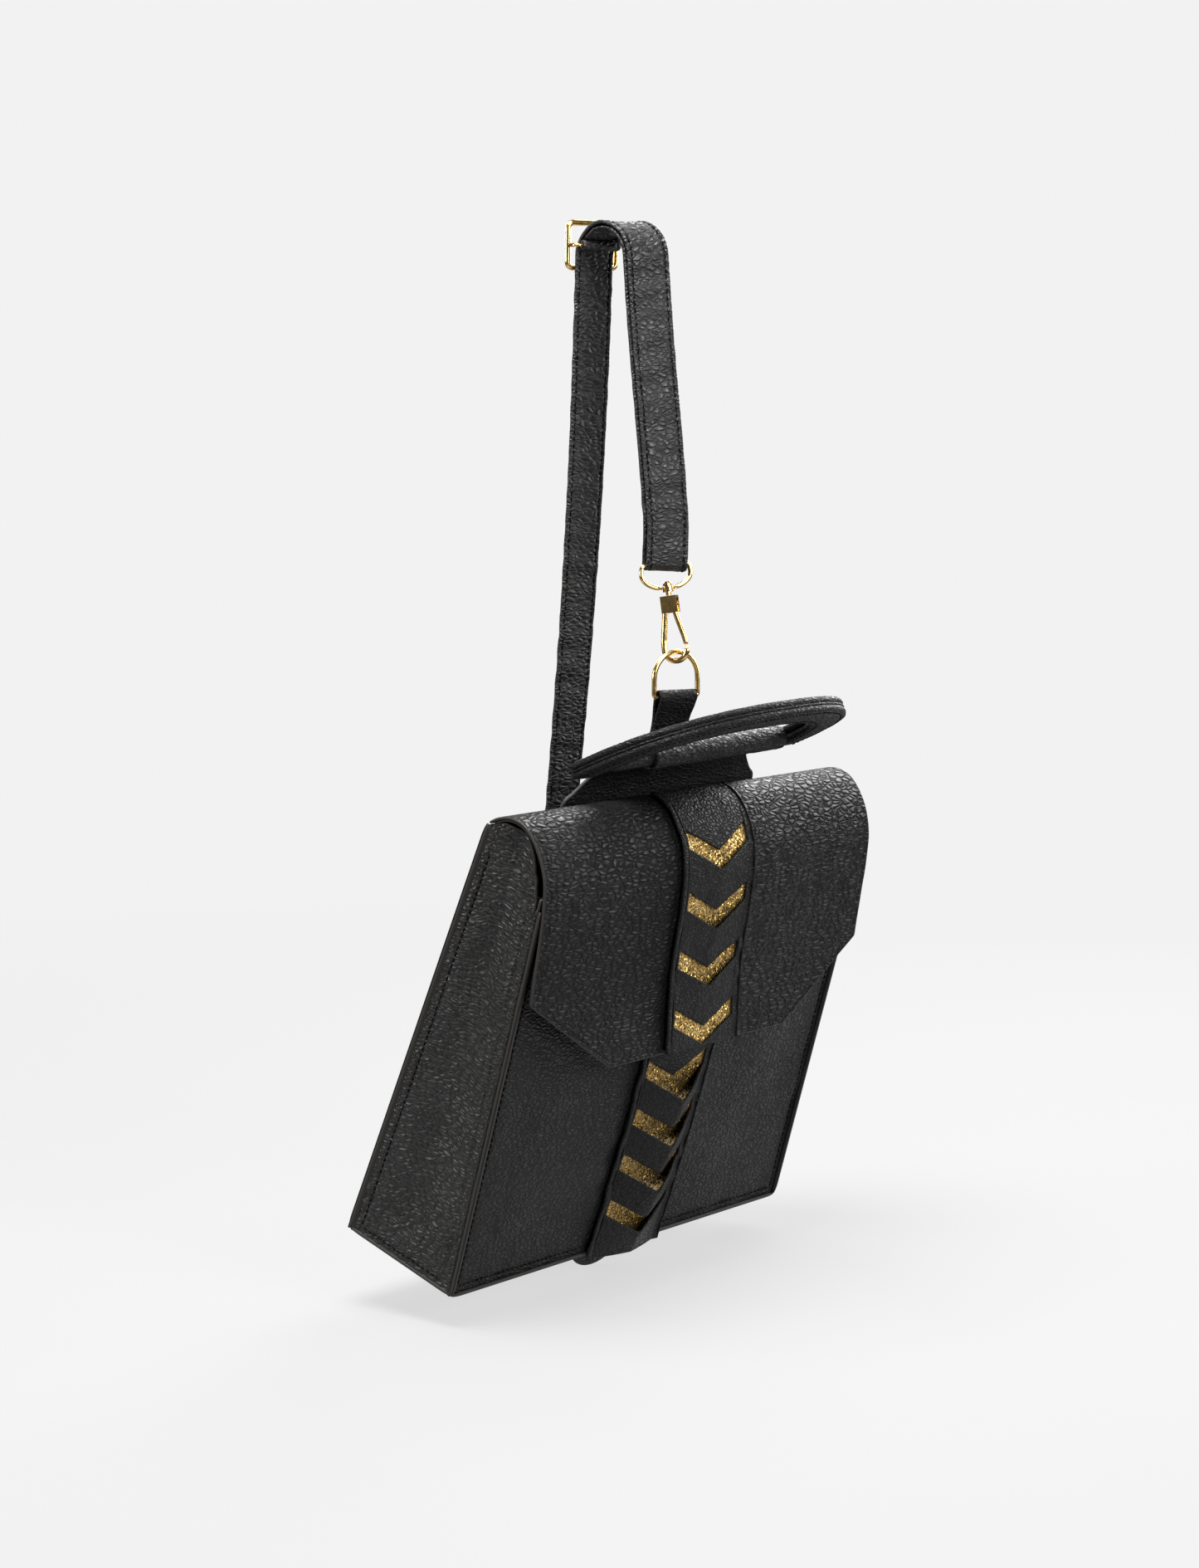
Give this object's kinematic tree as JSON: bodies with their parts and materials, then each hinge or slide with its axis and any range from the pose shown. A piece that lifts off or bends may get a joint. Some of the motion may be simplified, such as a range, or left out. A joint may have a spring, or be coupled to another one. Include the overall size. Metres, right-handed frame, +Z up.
{
  "type": "flap handbag",
  "caption": "Small black flap bag with a flat D handle and a chevron-cut strip, hanging from an adjustable shoulder strap with a slider and a swivel hook.",
  "frame": {"origin": "the underside of the strap's arch, where a peg carries the hanging bag", "axes": "+Z up against gravity, -Y towards the bag's front, +X to the right of someone facing its front; the bag hangs tilted 19.8 degrees, top forward"},
  "size_m": [0.3, 0.208, 0.5952],
  "materials": {
    "leather": "pebbled semi-gloss black leather",
    "strap_leather": "fine-grained black strap leather with stitched edges",
    "lining_fabric": "plain woven dark lining",
    "gold_fabric": "gold glitter fabric",
    "brass": "polished light gold plating",
    "board": "matt stiffening board"
  },
  "bodies": {
    "body": {"back_panel": "leather", "front_panel": "leather", "left_gusset": "leather", "right_gusset": "leather", "base_panel": "leather", "base_board": "board", "lining": "lining_fabric", "back_pocket": "leather", "front_gold_backing": "gold_fabric", "front_strip": "leather", "strip_tail": "leather", "body_magnet": "brass", "handle_sleeve": "leather", "handle_tab": "leather", "anchor_tab": "leather", "lower_patch": "leather", "strap_rear": "strap_leather", "strap_front_inner": "strap_leather", "strap_front_outer": "strap_leather", "strap_arch_inner": "strap_leather", "strap_arch_outer": "strap_leather", "strap_hook_fold": "strap_leather", "hook_loop": "brass", "swivel_collar": "brass"},
    "flap": {"flap_outer": "leather", "flap_lining": "lining_fabric", "flap_gold_backing": "gold_fabric", "flap_strip": "leather", "flap_magnet": "brass"},
    "handle": {"handle_rim_upper": "leather", "handle_rim_lower": "leather", "handle_bar": "leather"},
    "ring": {"d_ring": "brass"},
    "hook": {"swivel_pin": "brass", "hook_box": "brass", "gate_rivet": "brass", "hook_wire": "brass"},
    "gate": {"hook_gate": "brass"},
    "slider": {"slider_frame": "brass", "slider_bar": "brass", "strap_sewn_end": "strap_leather"}
  },
  "joints": [
    {"name": "flap_hinge", "type": "hinge", "parent": "body", "child": "flap", "pos_m": [0, -0.03, -0.313], "axis": [-1, 0, 0], "range_deg": [0, 46]},
    {"name": "handle_hinge", "type": "hinge", "parent": "body", "child": "handle", "pos_m": [0, -0.0663, -0.28302], "axis": [-0.9999, 0.0053, -0.0148], "range_deg": [-15, 45]},
    {"name": "ring_hinge", "type": "hinge", "parent": "body", "child": "ring", "pos_m": [0, -0.0395, -0.2565], "axis": [0.9511, -0.309, 0], "range_deg": [-3, 3]},
    {"name": "hook_swivel", "type": "hinge", "parent": "body", "child": "hook", "pos_m": [0, -0.03303, -0.19304], "axis": [0, -0.165, -0.9863], "range_deg": [0, 60]},
    {"name": "gate_hinge", "type": "hinge", "parent": "hook", "child": "gate", "pos_m": [0.00057, -0.03658, -0.20522], "axis": [0.9336, 0.3535, -0.0591], "range_deg": [0, 18], "stiffness_Nm_per_rad": 0.02, "springref_deg": -17.19},
    {"name": "slider_slide", "type": "slide", "parent": "body", "child": "slider", "axis": [0, 0.0314, -0.9995], "range_m": [0, 0.012]}
  ]
}
